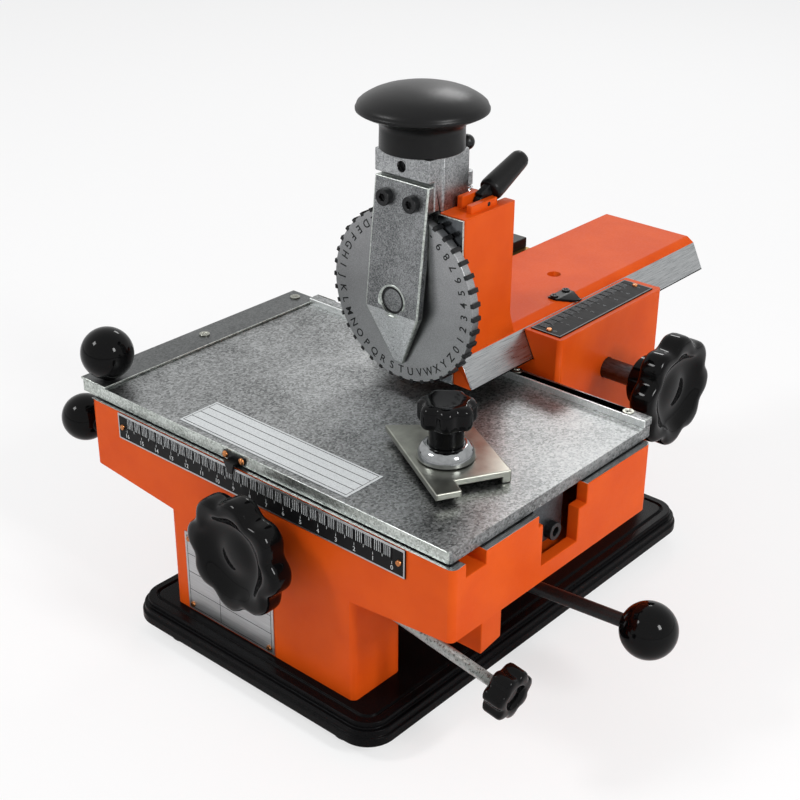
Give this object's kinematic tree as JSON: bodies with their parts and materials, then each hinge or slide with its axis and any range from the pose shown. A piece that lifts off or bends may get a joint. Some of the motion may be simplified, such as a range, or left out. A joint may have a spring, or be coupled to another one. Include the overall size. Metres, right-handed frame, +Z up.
{
  "type": "nameplate marking machine",
  "caption": "Hand operated nameplate marking machine with a cranked work table, a cranked arm, a press knob and a turning type disc.",
  "frame": {"origin": "on the ground under the middle of the whole machine's box", "axes": "+Z up, +Y from the operator's side (front handwheel) to the back, +X to the operator's right"},
  "size_m": [0.2994, 0.3186, 0.251],
  "materials": {
    "orange_paint": "gloss",
    "black_paint": "gloss",
    "dark_paint": "satin",
    "black_resin": "gloss",
    "matt_resin": "matte",
    "foot_rubber": "matte",
    "zinc_plate": "satin",
    "machined_steel": "satin",
    "polished_steel": "polished",
    "black_steel": "satin",
    "printed_aluminium": "satin",
    "bronze": "satin",
    "copper_plated": "satin"
  },
  "bodies": {
    "machine": {"base_plate": "black_paint", "rubber_feet": "foot_rubber", "foot_screws": "machined_steel", "bed_casting": "orange_paint", "column_casting": "orange_paint", "casting_bolts": "black_steel", "front_scale_plate": "black_paint", "column_scale_plate": "black_paint", "blank_plate": "printed_aluminium", "plate_rivets": "copper_plated", "rear_guide_rod": "polished_steel", "shaft_bushes": "bronze", "gib_strip": "bronze", "gib_cover": "dark_paint", "gib_screws": "black_steel"},
    "table": {"table_plate": "zinc_plate", "left_strip": "zinc_plate", "back_fence": "zinc_plate", "strip_screws": "machined_steel", "front_guide_bar": "dark_paint", "bearing_block": "dark_paint", "bearing_bush": "bronze", "rack_carrier": "dark_paint", "table_rack": "machined_steel", "carriage_end_screw": "black_steel", "table_pointer": "black_steel", "table_pointer_screws": "copper_plated", "instruction_plate": "printed_aluminium", "rear_clip": "black_steel", "table_ball": "black_resin", "clamp_stud": "machined_steel"},
    "table_crank": {"front_shaft": "machined_steel", "table_pinion": "machined_steel", "front_handwheel": "black_resin"},
    "arm": {"arm_casting": "orange_paint", "arm_rack": "machined_steel", "arm_pointer": "black_steel", "arm_screws": "machined_steel", "slide_cover_sheet": "polished_steel", "spring_rod": "black_steel", "return_spring": "machined_steel"},
    "arm_crank": {"side_shaft": "machined_steel", "arm_pinion": "machined_steel", "side_handwheel": "black_resin"},
    "press_head": {"head_block": "machined_steel", "pointer_plate": "machined_steel", "plate_screws": "black_steel", "mushroom_knob": "matt_resin", "disc_axle": "polished_steel"},
    "type_wheel": {"type_disc": "machined_steel", "type_pieces": "machined_steel"},
    "head_lever": {"clamp_lever": "matt_resin"},
    "spacing_adjuster": {"spacing_screw": "machined_steel", "spacing_knob": "black_resin"},
    "feed_lever": {"release_lever": "black_steel", "release_lever_ball": "black_resin"},
    "release_rod": {"push_rod": "black_resin"},
    "work_clamp": {"clamp_plate": "machined_steel", "dome_washer": "polished_steel"},
    "work_clamp_knob": {"clamp_knob": "black_resin"}
  },
  "joints": [
    {"name": "table_slide", "type": "slide", "parent": "machine", "child": "table", "axis": [1, 0, 0], "range_m": [-0.07, 0.09]},
    {"name": "table_crank_turn", "type": "hinge", "parent": "machine", "child": "table_crank", "pos_m": [0.00129, -0.13635, 0.0795], "axis": [0, 1, 0], "range_deg": [-405, 520]},
    {"name": "arm_slide", "type": "slide", "parent": "machine", "child": "arm", "axis": [0, -1, 0], "range_m": [-0.033, 0.039]},
    {"name": "arm_crank_turn", "type": "hinge", "parent": "machine", "child": "arm_crank", "pos_m": [-0.0062, 0.04865, 0.107], "axis": [1, 0, 0], "range_deg": [-172, 203]},
    {"name": "head_press", "type": "slide", "parent": "arm", "child": "press_head", "axis": [0, 0, -1], "range_m": [0, 0.004], "stiffness_N_per_m": 1500, "springref_m": -0.012, "deforming": ["return_spring"]},
    {"name": "type_wheel_turn", "type": "hinge", "parent": "press_head", "child": "type_wheel", "pos_m": [-0.0062, -0.04305, 0.1584], "axis": [0, 1, 0], "continuous": true},
    {"name": "head_lever_turn", "type": "hinge", "parent": "arm", "child": "head_lever", "pos_m": [0.01589, -0.01735, 0.2012], "axis": [1, 0, 0], "range_deg": [0, 35]},
    {"name": "spacing_screw_turn", "type": "hinge", "parent": "machine", "child": "spacing_adjuster", "pos_m": [0.11103, -0.11835, 0.04847], "axis": [0.9888, 0, -0.1495], "range_deg": [-720, 720]},
    {"name": "feed_lever_swing", "type": "hinge", "parent": "machine", "child": "feed_lever", "pos_m": [0.07079, -0.05635, 0.05], "axis": [0, 0, 1], "range_deg": [-18, 8]},
    {"name": "release_rod_slide", "type": "slide", "parent": "machine", "child": "release_rod", "axis": [1, 0, 0], "range_m": [0, 0.008], "stiffness_N_per_m": 300, "springref_m": -0.004},
    {"name": "work_clamp_turn", "type": "hinge", "parent": "table", "child": "work_clamp", "pos_m": [0.0562, -0.08605, 0.11535], "axis": [0, 0, 1], "range_deg": [-30, 30]},
    {"name": "clamp_knob_turn", "type": "hinge", "parent": "table", "child": "work_clamp_knob", "pos_m": [0.0562, -0.08605, 0.12495], "axis": [0, 0, 1], "range_deg": [-90, 90]}
  ],
  "couplings": [
    {"joint": "table_crank_turn", "follows": "table_slide", "rad_per_m": 100},
    {"joint": "arm_crank_turn", "follows": "arm_slide", "rad_per_m": 88.889}
  ]
}
